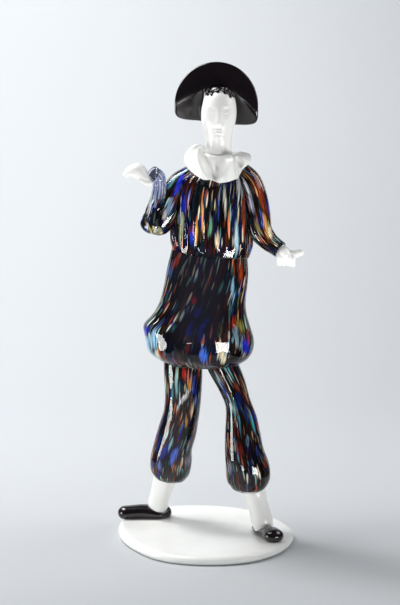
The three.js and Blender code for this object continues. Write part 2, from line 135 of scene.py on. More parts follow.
# Plain glasses, clouded between their colours, with the slow waves of hand work over the skin
glasses = {
    # melted opaque and fire polished: bright, a little soft inside, with a wet gloss
    "white_opal_glass": {
        "colours": ("#e9eae7", "#f6f6f3"), "cloudSize": 16, "cloudDetail": 3.0,
        "waveSize": 11, "waveDetail": 1.0, "waveHeight": 0.06, "waveStrength": 0.6,
        "surface": {"Roughness": 0.24, "IOR": 1.5, "Subsurface Weight": 0.1,
                    "Subsurface Radius": (1.3, 1.25, 1.2), "Subsurface Scale": mm}},
    # a very deep violet brown that reads as black, fire polished to a mirror gloss
    "black_glass": {
        "colours": ("#0b0810", "#190e10"), "cloudSize": 12, "cloudDetail": 2.0,
        "waveSize": 8, "waveDetail": 1.0, "waveHeight": 0.05, "waveStrength": 0.6,
        "surface": {"Roughness": 0.16, "IOR": 1.52, "Coat Weight": 0.4, "Coat Roughness": 0.05}},
    # blown clear over the colours: see-through, with sharp reflections that the waves break up
    "clear_soda_glass": {
        "colours": ("#f7f8fa",), "waveSize": 7, "waveDetail": 1.5, "waveHeight": 0.2, "waveStrength": 1.0,
        "surface": {"Roughness": 0.0, "IOR": 1.5, "Transmission Weight": 1.0, "Specular IOR Level": 0.85}},
}


def plainGlass(name):
    look = glasses[name]
    material, tree = startMaterial(name)
    place = addNode(tree, "TexCoord").outputs["Object"]
    colour = linear(look["colours"][0])
    if len(look["colours"]) > 1:
        cloud = noise(tree, place, 1 / (look["cloudSize"] * mm), look["cloudDetail"])[0]
        colour = blend(tree, cloud, colour, linear(look["colours"][1]))
    wave = noise(tree, place, 1 / (look["waveSize"] * mm), look["waveDetail"])[0]
    bump = addNode(tree, "Bump", {"Height": wave, "Strength": look["waveStrength"],
                                  "Distance": look["waveHeight"] * mm})
    finishMaterial(tree, {"Base Color": colour, "Normal": bump.outputs[0], **look["surface"]})
    return material


# Streaked colour core: slivers of coloured glass picked up on black and drawn into spindles with ragged
# ends. Each layer scatters spindles over the drawn surface, with half sizes as shares of a cell. Fine striae
# run through all of them and shift their colours, and single blots lie on top.
def streakedGlass(name, look):
    material, tree = startMaterial(name)
    marks = {key: addNode(tree, "Attribute", attribute_name=key).outputs
             for key in ("streakPlace", "streakShade", "blotColour", "blotAmount")}
    drawn = marks["streakPlace"]["Vector"]
    bend = noise(tree, drawn, look["bendScale"], 2.0)
    swing = calcVector(tree, "SUBTRACT", bend["Color"], (0.5, 0.5, 0.5))
    bent = calcVector(tree, "MULTIPLY_ADD", swing, look["bend"], drawn)
    fine = noise(tree, calcVector(tree, "MULTIPLY", bent, look["striae"]), 1.0, 2.0)
    fine = addNode(tree, "SeparateColor", {0: fine["Color"]}).outputs
    ragged, drift, thread = [calc(tree, "SUBTRACT", fine[i], 0.5) for i in range(3)]
    colour = linear(look["ground"])
    for index, layer in enumerate(look["layers"]):
        shift = [index * step for step in look["shift"]]
        place = calcVector(tree, "MULTIPLY_ADD", bent, [1 / layer["size"]] * 3, shift)
        cell = addNode(tree, "TexVoronoi", {"Vector": place, "Scale": 1.0, "Randomness": 1.0},
                       voronoi_dimensions="3D", feature="F1").outputs
        chance = addNode(tree, "SeparateColor", {0: cell["Color"]}).outputs
        away = calcVector(tree, "SUBTRACT", place, cell["Position"])
        across = calcVector(tree, "MULTIPLY", away, (1, 1, 0))
        across = addNode(tree, "VectorMath", {0: across}, operation="LENGTH").outputs["Value"]
        along = addNode(tree, "SeparateXYZ", {0: away}).outputs[2]
        # outside: across / width + (along / halfLength)^2 + ragged edge, under 1 within the spindle
        widest = layer["halfWidth"]
        width = mapRange(tree, chance[2], 0.0, 1.0, look["thinnest"] * widest, widest)
        across = calc(tree, "DIVIDE", across, width)
        along = calc(tree, "DIVIDE", along, layer["halfLength"])
        outside = calc(tree, "MULTIPLY_ADD", along, along, across)
        outside = calc(tree, "MULTIPLY_ADD", ragged, look["ragged"], outside)
        inside = mapRange(tree, outside, 1.0, 1.0 - layer["edge"])
        kept = calc(tree, "LESS_THAN", chance[1], layer["share"])
        tone = calc(tree, "MULTIPLY_ADD", drift, layer["drift"], chance[0])
        amount = calc(tree, "MULTIPLY", inside, kept)
        colour = blend(tree, amount, colour, ramp(tree, tone, layer["palette"].split()))
    # single blots with the same ragged edge
    blotted = calc(tree, "MULTIPLY_ADD", drift, look["blotRagged"], marks["blotAmount"]["Fac"])
    blotted = mapRange(tree, blotted, 0.0, look["blotEdge"], 0.0, look["blotCover"])
    colour = blend(tree, blotted, colour, marks["blotColour"]["Color"])
    # dark threads between the slivers, darker zones, and painted shade over the middle of the front
    light = mapRange(tree, thread, *look["threads"], look["threadLight"], look["strength"])
    zone = mapRange(tree, bend[0], *look["zones"], look["dim"])
    light = calc(tree, "MULTIPLY", light, zone)
    colour = addNode(tree, "VectorMath", {0: colour, "Scale": light}, operation="SCALE").outputs[0]
    colour = blend(tree, marks["streakShade"]["Fac"], linear(look["paintedShade"]), colour)
    finishMaterial(tree, {"Base Color": colour, "Roughness": look["roughness"], "Specular IOR Level": 0.0})
    return material


white = plainGlass("white_opal_glass")
black = plainGlass("black_glass")
clear = plainGlass("clear_soda_glass")
print("plain glasses mixed")


# Shapes. A gather of glass is a grid of points: rings along a line and sides round it
def cubic(a, b, c, d, t):
    # the curve from b to c that a smooth run through a, b, c and d would take
    bend = (2 * a - 5 * b + 4 * c - d) * t ** 2 + (3 * b - a - 3 * c + d) * t ** 3
    return b + 0.5 * ((c - a) * t + bend)


def between(rows, share):
    # a smooth value between rows, share from 0 at the first to 1 at the last
    place = share * (len(rows) - 1)
    start = np.clip(np.floor(place).astype(int), 0, len(rows) - 2)
    rows = join([[2 * rows[0] - rows[1]], rows, [2 * rows[-1] - rows[-2]]])
    nearest = [rows[start + step] for step in range(4)]
    return cubic(*nearest, (place - start)[..., None])


def around(rows, angle):
    # the same for rows that go round in a circle, at angles from 0 to 2 pi
    rows = np.array(rows, float).reshape(len(rows), -1)
    place = angle / (2 * np.pi) * len(rows)
    start = np.floor(place).astype(int)
    nearest = [rows[(start + step) % len(rows)] for step in range(-1, 3)]
    return cubic(*nearest, (place - start)[..., None])


def smoothStep(low, high, value):
    t = np.clip((value - low) / (high - low), 0, 1)
    return t * t * (3 - 2 * t)


def hump(value, middle, spread):
    # a soft bump, 1 at the middle and falling off as exp(-x^2)
    return np.exp(-((value - middle) / spread) ** 2)


def unit(vectors):
    return vectors / np.linalg.norm(vectors, axis=-1, keepdims=True)


def circle(count):
    return np.arange(count) / count * 2 * np.pi


fineSteps, aheadShare = 400, 0.01  # places at which a line is measured, and how far on its direction looks
usualLip, capRings = 1.2, 9  # lip of a hollow end in mm, and rings of a rounded one


def gather(form, sides, rings, grow=0.0, trim=(0, 0), capRings=capRings):
    # point = centre + side * halfWidth * cos(angle) + deep * halfDepth * sin(angle), ring by ring;
    # rounded ends are quarter ellipses, and a hollow end has a rounded lip and a dished inside
    rows = np.array([list(row) + [0] * (6 - len(row)) for row in form["rows"]], float)
    relief = form.get("relief", lambda u, angle, height: 0.0)
    axis = np.array(form.get("depthAxis", (0, 1, 0)), float)
    turn = circle(sides)
    angle = turn - form.get("bunch", 0) * np.cos(turn)
    lip = max(form.get("lip", usualLip) + grow, 0)
    fine = np.linspace(0, 1, fineSteps)
    steps = np.linalg.norm(np.diff(between(rows[:, :3], fine), axis=0), axis=1)
    length = join([[0], np.cumsum(steps)])

    def ringsAt(u, shrink, push):
        row = between(rows, u)
        before, beyond = np.maximum(u - aheadShare, 0), np.minimum(u + aheadShare, 1)
        ahead = between(rows[:, :3], beyond) - between(rows[:, :3], before)
        along = np.broadcast_to((0.0, 0.0, 1.0), ahead.shape) if form.get("level") else unit(ahead)
        deep = unit(axis - along * (along @ axis)[:, None])
        side = np.cross(deep, along)
        centre = row[:, :3] + along * push[:, None]
        extra = grow + relief(u[:, None], angle[None, :], centre[:, 2:3])
        across = shrink[:, None] * (row[:, 3:4] + extra) * np.cos(angle)
        depth = shrink[:, None] * (row[:, 4:5] + extra) * np.sin(angle)
        points = centre[:, None] + side[:, None] * across[..., None] + deep[:, None] * depth[..., None]
        points = points + along[:, None] * (row[:, 5:6] * across)[..., None]
        points[..., 2] = np.maximum(points[..., 2], form.get("floor", -np.inf))
        return points

    def closeEnd(u, cap, outward):
        # the rings from the body outwards, where each lies along the line, and the point they close on
        quarter = np.linspace(np.pi / 2, 0, capRings + 2)[1:-1]
        tip = cap + (grow if cap > 0 else 0)
        shrink, push = np.sin(quarter), tip * np.cos(quarter)
        if cap < 0 and lip > 0:
            roll = np.linspace(0, np.pi, capRings + 2)[1:]
            inset = lip * (1 - np.cos(roll)) / (between(rows, np.array([u]))[0, 3:5].min() + grow)
            shrink = join([1 - inset, (1 - inset[-1]) * shrink])
            push = join([lip * np.sin(roll), push])
        same = np.full(len(push), u)
        point = ringsAt(np.array([u]), np.zeros(1), np.array([outward * tip]))[0, 0]
        return ringsAt(same, shrink, outward * push), outward * push, point

    caps = form["caps"]
    low = trim[0] + (lip if caps[0] < 0 else 0)
    high = length[-1] - trim[1] - (lip if caps[1] < 0 else 0)
    run = np.linspace(low, high, rings + 1)
    share = np.interp(run, length, fine)
    start, startRun, first = closeEnd(share[0], caps[0], -1)
    end, endRun, last = closeEnd(share[-1], caps[1], 1)
    body = ringsAt(share, np.ones_like(share), np.zeros_like(share))
    grid = join([start[::-1], body, end])
    reach = join([low + startRun[::-1], run, high + endRun])
    return {"grid": grid, "first": first, "last": last, "turn": turn, "reach": reach, "length": length[-1]}


def ringFaces(rings, sides, closed=False):
    # four-sided faces between rings of points, and between the last and the first where it is closed
    i, j = np.indices((rings - (not closed), sides))
    ahead, after = (i + 1) % rings, (j + 1) % sides
    corners = [i * sides + j, i * sides + after, ahead * sides + after, ahead * sides + j]
    return np.stack(corners, -1).reshape(-1, 4)


def hoop(grid):
    # a skin closed both ways, like a ring
    return grid.reshape(-1, 3), [ringFaces(*grid.shape[:2], closed=True)]


def skin(shape):
    # rings of points joined into a closed skin with one point at each end
    grid = shape["grid"]
    points = join([shape["first"][None], grid.reshape(-1, 3), shape["last"][None]])
    here, final = 1 + np.arange(grid.shape[1]), len(points) - 1
    there = here + final - 1 - len(here)
    low = np.stack([0 * here, np.roll(here, -1), here], -1)
    high = np.stack([there, np.roll(there, -1), 0 * there + final], -1)
    return points, [1 + ringFaces(*grid.shape[:2]), low, high]


def makeMesh(name, skins, attributes=None):
    # skins as one mesh, the closed ones with their faces turned outwards: the sum of
    # corner . (next corner x last corner) over the faces is six times the volume
    allPoints, allFaces, before = [], [], 0
    for points, faceSets in skins:
        volume = 0.0
        for faces in faceSets:
            corner = [points[faces[:, i]] for i in range(faces.shape[1])]
            for i in range(1, faces.shape[1] - 1):
                volume += np.einsum("ij,ij->", corner[0], np.cross(corner[i], corner[i + 1]))
        allFaces += [(faces if volume > 0 else faces[:, ::-1]) + before for faces in faceSets]
        allPoints.append(points)
        before += len(points)
    points = join(allPoints)
    sizes = join([np.full(len(faces), faces.shape[1]) for faces in allFaces])
    corners = join([faces.ravel() for faces in allFaces])
    mesh = bpy.data.meshes.new(name)
    mesh.vertices.add(len(points))
    mesh.vertices.foreach_set("co", (points * mm).astype(np.float32).ravel())
    mesh.loops.add(len(corners))
    mesh.loops.foreach_set("vertex_index", corners.astype(np.int32))
    mesh.polygons.add(len(sizes))
    mesh.polygons.foreach_set("loop_start", join([[0], np.cumsum(sizes)[:-1]]).astype(np.int32))
    mesh.polygons.foreach_set("use_smooth", np.ones(len(sizes), bool))
    for key, values in (attributes or {}).items():
        kind, field = ("FLOAT", "value") if values.ndim == 1 else ("FLOAT_VECTOR", "vector")
        mesh.attributes.new(key, kind, "POINT").data.foreach_set(field, values.astype(np.float32).ravel())
    mesh.update(calc_edges=True)
    mesh.validate()
    return mesh


def melted(name, skins, voxel, passes):
    # several gathers melted into one skin, with their joints softened
    rough = addObject(name + "_rough", makeMesh(name + "_rough", skins))
    remesh = rough.modifiers.new("melt", "REMESH")
    remesh.mode, remesh.voxel_size = "VOXEL", voxel * mm
    soften = rough.modifiers.new("soften", "SMOOTH")
    soften.factor, soften.iterations = 0.5, passes
    done = bpy.data.meshes.new_from_object(rough.evaluated_get(bpy.context.evaluated_depsgraph_get()))
    done.name = name
    done.polygons.foreach_set("use_smooth", np.ones(len(done.polygons), bool))
    bpy.data.objects.remove(rough)
    return done


def addPiece(mesh, node, material):
    # a finished piece: it rides with the figure and stands for its node
    piece = addObject(mesh.name, mesh)
    mesh.materials.append(material)
    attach(piece, "root")
    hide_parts(node)


# Base: a poured disc, not quite round, with a full rim
base = {
    "rimRadii": [68.5, 66.4, 69.4, 71.8, 75.8, 75.4, 68.6, 65.9, 69.4, 70.4, 71.8, 69.9],
    "profile": [
        (4.6, 0), (1.6, 0.5), (0.2, 2.2), (0, 3.8), (0.9, 5.6), (2.8, 6.7), (5.6, 7), (9, 6.9)],
    "dip": 0.35, "sides": 240, "rimRings": 28, "topRings": 40, "topCrowding": 0.8, "underRings": 12,
}


def makeBase():
    angle = circle(base["sides"])
    radius = around(base["rimRadii"], angle)[:, 0]
    profile = between(np.array(base["profile"], float), np.linspace(0, 1, base["rimRings"]))
    inward = np.linspace(1, 0, base["topRings"])[1:-1] ** base["topCrowding"]
    under = np.linspace(0, 1, base["underRings"])[1:-1]
    lastInset, lastHeight = profile[-1]
    reach = [np.outer(under, radius - profile[0, 0]), radius - profile[:, :1],
             np.outer(inward, radius - lastInset)]
    sink = lastHeight - base["dip"] * (1 - inward ** 2)
    height = join([0 * under, np.maximum(profile[:, 1], 0), sink])[:, None]
    reach = join(reach)
    grid = np.stack([reach * np.cos(angle), reach * np.sin(angle), height + 0 * reach], -1)
    shape = {"grid": grid, "first": np.zeros(3), "last": np.array([0, 0, sink[-1]])}
    addPiece(makeMesh("disc_base", [skin(shape)]), "base", white)


makeBase()
print("base poured")


# Stockings from the foot to the hem of the breeches and slippers from heel to toe, with flat soles on the
# disc, in rows of x, y, z, half width and half depth
soleHeight = 7.05
limbs = {
    "rear_shin": {
        "rows": [
            (-39.2, 36.4, 12.5, 7.2, 7.2), (-38.6, 35.6, 18, 8.3, 8.3), (-36.6, 33.4, 27, 8.2, 8.2),
            (-34.4, 30.6, 36, 8.9, 8.9), (-32.4, 28.6, 43, 9.6, 9.6)],
        "caps": (3.2, 1.5)},
    "front_shin": {
        "rows": [
            (45.4, -9.6, 10.8, 7.4, 7.2), (43.6, -8.6, 17.5, 8.5, 8.2), (41.4, -6.8, 26, 8, 8),
            (39, -4.6, 34.5, 8.5, 8.4), (35.6, -3, 44, 10.2, 9.6)],
        "caps": (1.6, 1.5)},
    "rear_shoe": {
        "rows": [
            (-30.8, 37.4, 10.8, 5, 4.2), (-37.5, 36.4, 10.2, 8.6, 4.2), (-45, 35.2, 11.4, 8.2, 5.6),
            (-52, 34.4, 12, 7, 5.7), (-59, 33.6, 11.8, 6.8, 5.5), (-65.2, 33, 11.4, 6.8, 5.6)],
        "caps": (2.8, 6), "depthAxis": (0, 0, 1), "floor": soleHeight},
    "front_shoe": {
        "rows": [
            (39.8, 2, 8.6, 4.2, 1.6), (42.6, -7, 9, 5.8, 2.2), (46.8, -15.8, 10.2, 6.4, 4),
            (50.2, -22.6, 11.2, 7.2, 5.4), (52.2, -27.8, 11, 7.8, 5.6)],
        "caps": (3.4, 7), "depthAxis": (0, 0, 1), "floor": soleHeight},
}
for node, form in limbs.items():
    pieceName = node.replace("shin", "stocking").replace("shoe", "slipper")
    slot, material = ("white_glass", white) if "shin" in node else ("black_glass", black)
    addPiece(makeMesh(pieceName, [skin(gather(form, sides=96, rings=80))]), node, material)
print("stockings and slippers drawn")


# Costume. Each piece is a clear casing over a streaked core. "around" is the number of streaks side by side
# and "lengths" are their lengths in mm at the first and the last row; "ends" is the clear glass beyond the
# core at both ends. A blot is x, z, half width, half height, slant if any and colour, before "front" in y.
streaks = {
    "ground": "#09080b", "bend": (0.7, 0.7, 1.2), "bendScale": 0.4, "striae": (4, 4, 0.7), "ragged": 1.4,
    "threads": (-0.18, 0.0), "threadLight": 0.12, "strength": 1.45, "zones": (0.4, 0.52), "dim": 0.3,
    "blotRagged": 2.4, "blotEdge": 0.5, "blotCover": 0.85, "shift": (3.7, 5.3, 7.9), "thinnest": 0.35,
    # colour, cover and front depths of the painted shade over the middle of the front
    "paintedShade": "#24232d", "paintedShadeCover": 0.8, "paintedShadeDepths": (4, -8), "roughness": 0.5,
    "layers": [
        # broad slivers of deep colour, edge to edge
        {"size": 1.25, "halfWidth": 1.6, "halfLength": 1.5, "edge": 0.5, "share": 1.0, "drift": 0.5,
         "palette": "#0a0a0c #24100a #4a1e0e #0a090c #0a0a0e #10174c #0a0a0e #0c2c34 "
                    "#0a0b0c #341018 #0c0a0c #2c1c0c #0a0a0c"},
        # middle colours
        {"size": 1.0, "halfWidth": 0.56, "halfLength": 0.62, "edge": 0.5, "share": 0.78, "drift": 0.4,
         "palette": "#0a0a0c #5a1c0c #a4441a #3a180c #0a0a0c #1a2cae #0c0c1c #1f5a64 "
                    "#4a8a84 #0a0c0c #5c5c2c #0c0c0a #7c3014 #08080a"},
        {"size": 0.86, "halfWidth": 0.46, "halfLength": 0.6, "edge": 0.45, "share": 0.62, "drift": 0.45,
         "palette": "#08080a #8c2c14 #d07838 #e8c48c #3c2414 #0a0a0c #2238cc #6c8ee0 "
                    "#0a0a0e #3a8c94 #9cc8b8 #0a0a0c"},
        # bright, thin slivers
        {"size": 0.72, "halfWidth": 0.42, "halfLength": 0.62, "edge": 0.5, "share": 0.6, "drift": 0.4,
         "palette": "#0a0a0c #e09858 #f4e2bc #e8eed8 #a8dcd2 #0e1012 #5cacb8 #cfe2f4 "
                    "#e6dcc0 #0a0a0c #c23a1c #f0e0b8 #0a0a0c"},
    ],
}


def streakCells(form, reach, length):
    # how many streaks lie before each ring: the run of 1 / streak length, which goes evenly from the
    # first to the last of "lengths"
    first, last = form["lengths"]
    within = np.clip(reach, 0, length)
    slope = (last - first) / length
    cells = within / first if first == last else np.log((first + slope * within) / first) / slope
    return cells + (reach - within) / last


def streakedCore(form, sides, rings):
    # the core's skin and where each of its points lies among the streaks
    shape = gather(form, sides, rings, grow=-form["casing"], trim=form["ends"])
    radius = form["around"] / (2 * np.pi)
    turn = shape["turn"] - form.get("swirl", 0) * shape["grid"][:, :, 2]
    cells = streakCells(form, shape["reach"], shape["length"])
    place = np.stack([radius * np.cos(turn), radius * np.sin(turn), cells[:, None] + 0 * turn], -1)
    place = join([[(0, 0, cells[0])], place.reshape(-1, 3), [(0, 0, cells[-1])]]) + form["offset"]
    points, faces = skin(shape)
    return (points, faces), {"streakPlace": place, "streakShade": paintedShade(form, points), **blots(form, points)}


def paintedShade(form, points):
    # 1 where the streaks show in full, and less under painted shade over the middle of the front
    if "paintedShade" not in form:
        return np.ones(len(points))
    limits = form["paintedShade"]
    x, y, z = points.T
    front = smoothStep(*streaks["paintedShadeDepths"], y) * smoothStep(*limits["heights"], z)
    aside = smoothStep(*limits["across"], np.abs(x - limits["middle"]))
    return 1 - streaks["paintedShadeCover"] * front * (1 - aside)


def blots(form, points):
    # on the front: 1 - distance from the nearest blot's middle, measured in its half sizes, and its colour
    amount, colour = np.full(len(points), -1.0), np.zeros((len(points), 3))
    for x, z, halfWidth, halfHeight, *slant, hexColour in form["blots"]:
        up = points[:, 2] - z
        nearness = 1 - np.hypot((points[:, 0] - x - sum(slant) * up) / halfWidth, up / halfHeight)
        nearest = (nearness > amount) & (points[:, 1] < form["front"])
        amount[nearest], colour[nearest] = nearness[nearest], linear(hexColour)[:3]
    return {"blotAmount": amount, "blotColour": colour}


def dressPiece(node, forms, sides, rings):
    # the cores of all the node's gathers as one piece, and their casings as another
    cores = [streakedCore(form, sides, rings) for form in forms]
    attributes = {key: join([marks[key] for core, marks in cores]) for key in cores[0][1]}
    material = streakedGlass(node + "_streaked_glass", {**streaks, **forms[0].get("look", {})})
    streaked = makeMesh(node + "_streaks", [core for core, marks in cores], attributes)
    addPiece(streaked, node, material)
    casings = [skin(gather(form, sides // 2, rings // 2)) for form in forms]
    addPiece(makeMesh(node + "_casing", casings), node, clear)


ribs = {"count": 26, "depth": 0.7, "fadeIn": (0.07, 0.22), "fadeOut": (0.86, 1)}
bell = {
    "ribDepth": 0.16, "ribSlant": 0.006, "fadeIn": (178, 198), "fadeOut": (216, 226), "full": 1.4,
    "fullAt": (168, 10), "kick": 3.4, "kickAt": (173, 6.5), "kickPower": 3,
}
brightLook = {"strength": 2.1, "dim": 0.5}  # bodice and sleeves have more light colours


def fade(value, limits):
    return smoothStep(*limits["fadeIn"], value) * (1 - smoothStep(*limits["fadeOut"], value))


def skirtRelief(u, angle, height):
    # slanting ribs that fade above the hem, a bell that is fullest in front and kicks out at the left
    ribbed = np.cos(ribs["count"] * (angle - bell["ribSlant"] * height))
    front, left = np.maximum(-np.sin(angle), 0), np.maximum(-np.cos(angle), 0)
    kick = bell["kick"] * hump(height, *bell["kickAt"]) * left ** bell["kickPower"]
    full = bell["full"] * hump(height, *bell["fullAt"]) * front
    return bell["ribDepth"] * fade(height, bell) * ribbed + full + kick


tunicSkirt = {
    "rows": [
        (-1.4, 0, 141.4, 26.5, 19, 0), (-2.6, 0, 145.4, 34.4, 26.4, 0), (-4.4, 0, 152, 40.4, 30.4, 0),
        (-5.2, 0, 161, 42, 31.6, 0), (-6, 0, 170, 40.2, 31, 0), (-4.8, 0, 181, 35.8, 26.6, 0),
        (-2.6, 0, 192, 32.8, 24.6, -0.02), (-0.4, 0, 204, 31.8, 23.4, -0.05),
        (1, 0, 215, 31.2, 22.6, -0.08), (2.3, 0, 228.6, 29.2, 20.8, -0.1)],
    "caps": (-5, 0.8), "level": True, "relief": skirtRelief, "casing": 2.2, "lip": 1.0, "ends": (1, 0.2),
    "around": 44, "lengths": (11, 17), "offset": 3.1, "swirl": 0.006, "front": 4,
    # painted shade over the skirt's middle front, partly its darker glass there
    "paintedShade": {"middle": -5, "across": (9, 28.5), "heights": (148, 172)},
    "blots": [
        (28.5, 158.6, 3.6, 7, -0.2, "#1c34d8"), (24.4, 164, 3.4, 12, -0.35, "#b4dcec"),
        (-4.2, 170, 2.2, 8, 0.1, "#1a2ed0"), (-2.7, 155.5, 3.4, 8, "#4678ea"),
        # the pale blue blot below: partly glass colour, partly painted highlight of the left hem
        (-2.7, 165.9, 2.2, 3.2, "#f05020"), (-42.5, 160, 5.5, 11, 0.2, "#a4d0e6"),
        (-45, 168.5, 2, 5, 0.2, "#2438b0"), (-21.7, 224.7, 2.2, 8, 0.4, "#e0481c"),
        (-28, 216.4, 2.2, 6, 0.1, "#78a4e8"), (19.4, 203, 1.8, 11, -0.05, "#8cbcd8"),
        (25.5, 214, 1.8, 9, "#b8481c"), (20.5, 177, 1.8, 6, "#c8321c"), (25.5, 174, 3, 6, -0.3, "#84843c"),
        (-9.6, 195, 2.6, 3, "#c02030"), (-6.5, 186, 4, 5, 0.3, "#2434b4"),
        (-17.2, 219, 1.3, 7, 0.5, "#cfeadc"), (-13, 210, 1.2, 4, 0.5, "#86d8a8"),
        # both blots below lie under the hem's highlights: partly glass colour, partly painted highlight
        (-37, 150, 2.4, 7, -0.3, "#d8e6e0"), (12, 153, 3.4, 7, "#f2e6c0"),
        (-14, 160, 3, 9, 0.3, "#5c201c"), (-20, 153, 9, 8, "#181114"), (-10.5, 150, 5, 7, "#141012")],
}


def ribRelief(u, angle, height):
    # upright ribs that fade towards the waist and the neck
    return ribs["depth"] * fade(u, ribs) * np.cos(ribs["count"] * angle)


bodice = {
    "rows": [
        (3.3, 0, 228, 29.6, 20.6, -0.1), (4, 0, 235, 31.2, 21.8, -0.06), (3.6, 0, 248, 31, 21.8, -0.02),
        (3.4, 0, 262, 31.2, 21.6, 0), (3.6, 0.4, 275, 31, 20.8, 0), (5, 0.6, 285, 28.6, 18.2, 0),
        (6.8, 0.6, 292, 22.5, 14.4, 0), (8.4, -1.6, 297, 13.5, 10, 0)],
    "caps": (0.8, 1), "level": True, "relief": ribRelief, "casing": 1.6, "ends": (0.2, 0), "around": 68,
    "lengths": (15, 19), "offset": 7.4, "swirl": 0.002, "front": 4, "look": brightLook,
    # painted shade at the waist, in the crease where the bodice meets the skirt
    "paintedShade": {"middle": 2, "across": (12, 24), "heights": (238, 228)},
    "blots": [
        (-18.6, 252, 1.4, 17, 0.05, "#dce4b4"), (-27.5, 243, 4, 15, "#3c3444"),
        (-17, 266, 2.2, 8, 0.1, "#1c34cc"), (22.4, 243, 2.4, 15, "#b4d4de"),
        (24.6, 282.7, 1.6, 9, -0.2, "#d4d6da"), (-24, 233, 1.6, 6, 0.2, "#b43018"),
        (-3, 262, 1.4, 14, "#e8b070"), (8, 240, 1.6, 10, "#f0dcb4"), (-11, 243, 1.6, 8, "#2438c8"),
        (14, 270, 1.4, 12, "#f2ead6"), (3, 252, 1.6, 9, 0.1, "#78b48c"), (28, 258, 1.6, 16, "#a8401c"),
        (16.5, 255, 1.2, 12, "#d87838"), (-7.5, 248, 1.1, 9, "#d8a04c")],
}
breeches = {"caps": (-3, 3), "casing": 1.8, "ends": (1.6, 0), "around": 30, "lengths": (12, 18)}
rearBreeches = {
    "rows": [
        (-29.2, 27.6, 42.5, 12.2, 11.6), (-28.6, 26.6, 48, 15.6, 14.4), (-28, 24.2, 58, 16.6, 15.2),
        (-26.4, 20.6, 70, 15.4, 14.2), (-22.8, 16.6, 84, 15.2, 13.6), (-19.8, 13, 98, 14.2, 12.8),
        (-18.3, 9.8, 112, 14.2, 12.4), (-18.1, 7, 126, 14.8, 12.6), (-18.1, 5, 141, 15.2, 13),
        (-17.6, 4, 148, 14.8, 12.6)],
    **breeches, "offset": 11.2, "swirl": 0.004, "front": 20,
    "blots": [
        (-17.5, 134.2, 1.8, 7.1, "#c8321c"), (-13.2, 124.6, 1.2, 9.5, 0.1, "#d89030"),
        (-16.7, 115.6, 2.2, 8.5, 0.6, "#ffffff"), (-9.7, 123.8, 1.5, 11.1, "#283c9c"),
        (-11.2, 105.4, 1.4, 8.7, 0.1, "#e8c8a0"), (-15.9, 95, 1.1, 7.1, 0.1, "#f0b040"),
        (-22.9, 126.2, 1.1, 12.6, "#8cc4c0"), (-22.2, 102.2, 1.5, 9.5, 0.3, "#8c2414"),
        (-31.7, 69.9, 2.6, 7.1, 0.4, "#2030a8"), (-25.4, 65.9, 3, 7.1, 0.4, "#5074d8"),
        # low grey and lavender blots here and below: partly glass, partly painted reflection of the floor
        (-28.5, 74, 1.4, 6.3, 0.4, "#8cc8cc"), (-22.3, 53.7, 2.3, 4.7, 0.2, "#b8b4a8"),
        (-36.4, 55.3, 2.3, 4.7, -0.2, "#6c7cb8"), (-16, 58.6, 2.3, 6.3, "#7c7084")],
}
frontBreeches = {
    "rows": [
        (32.4, -4.4, 43, 12.6, 12), (32.6, -5.2, 49, 16.6, 15.4), (32.4, -6.2, 58, 17.3, 16),
        (29.6, -6.2, 72, 15.4, 15), (28.2, -5.6, 86, 13.9, 13.6), (27, -5.6, 99, 12.2, 12),
        (24.2, -5, 112, 10, 11.2), (19.4, -4, 126, 11, 11.6), (12.8, -3, 140, 12, 12.2),
        (10.4, -2.4, 147, 12.2, 12.2)],
    **breeches, "offset": 15.9, "swirl": -0.004, "front": -2,
    "blots": [
        (13.4, 141.6, 1.1, 6.3, -0.5, "#a0d8d8"), (17.3, 138.4, 0.9, 7.1, -0.5, "#68a8b0"),
        (22.7, 125.8, 1.4, 4, -0.5, "#a85030"), (24.7, 114, 2.6, 8.7, -0.1, "#1c3c94"),
        (19.7, 99.7, 0.9, 13.4, "#4ca0b0"), (25.9, 95.7, 0.9, 9.5, -0.1, "#58b0c0"),
        (35.2, 96.5, 1.1, 9.5, -0.3, "#3c9cb0"), (26, 75, 2.4, 9.5, "#6c2418"),
        (31.4, 83.8, 1.5, 4.7, "#88b0c8"), (19, 61.4, 2.3, 5.5, "#9a9ca4"),
        (31.5, 55.8, 1.2, 5.5, "#e8e0c8"), (39.2, 60.6, 1.2, 5.5, "#c8a890"),
        (44.2, 64.6, 1.1, 4.7, "#a83028"), (34.5, 65.4, 1.8, 7.9, "#241c54"),
        (30.5, 104.5, 1.1, 7.9, -0.2, "#284c9c")],
}
sleeve = {"lip": 0.8, "casing": 1.3, "lengths": (17, 13), "look": brightLook}
raisedUpperArm = {
    "rows": [
        (-12, 0, 290, 6.5, 9), (-20, -1.5, 283, 8.8, 10.5), (-26.5, -3, 272.5, 10.4, 10.5),
        (-31.5, -4.5, 261.5, 11.8, 10.6), (-37.2, -5.8, 253.8, 11.6, 10.2)],
    **sleeve, "caps": (4, 10.6), "ends": (0, 0), "around": 22, "offset": 21.3, "front": 4,
    "blots": [
        (-20.8, 283, 2.2, 11, 0.4, "#1c38dc"), (-28.4, 265, 2.2, 9, 0.4, "#a4c4f0"),
        # the off-white blot below lies where a white glint shows: partly white glass, partly painted
        # highlight
        (-35, 269, 2.4, 13, 0.3, "#8c3412"), (-31.6, 259.5, 2.2, 6, 0.1, "#f4ece2"),
        (-39, 249, 2.2, 5, -0.4, "#e0d8a0"), (-43, 250, 1.4, 5, -0.5, "#a89a5c"),
        (-35.5, 248, 1.6, 4, -0.4, "#f0e4b4")],
}
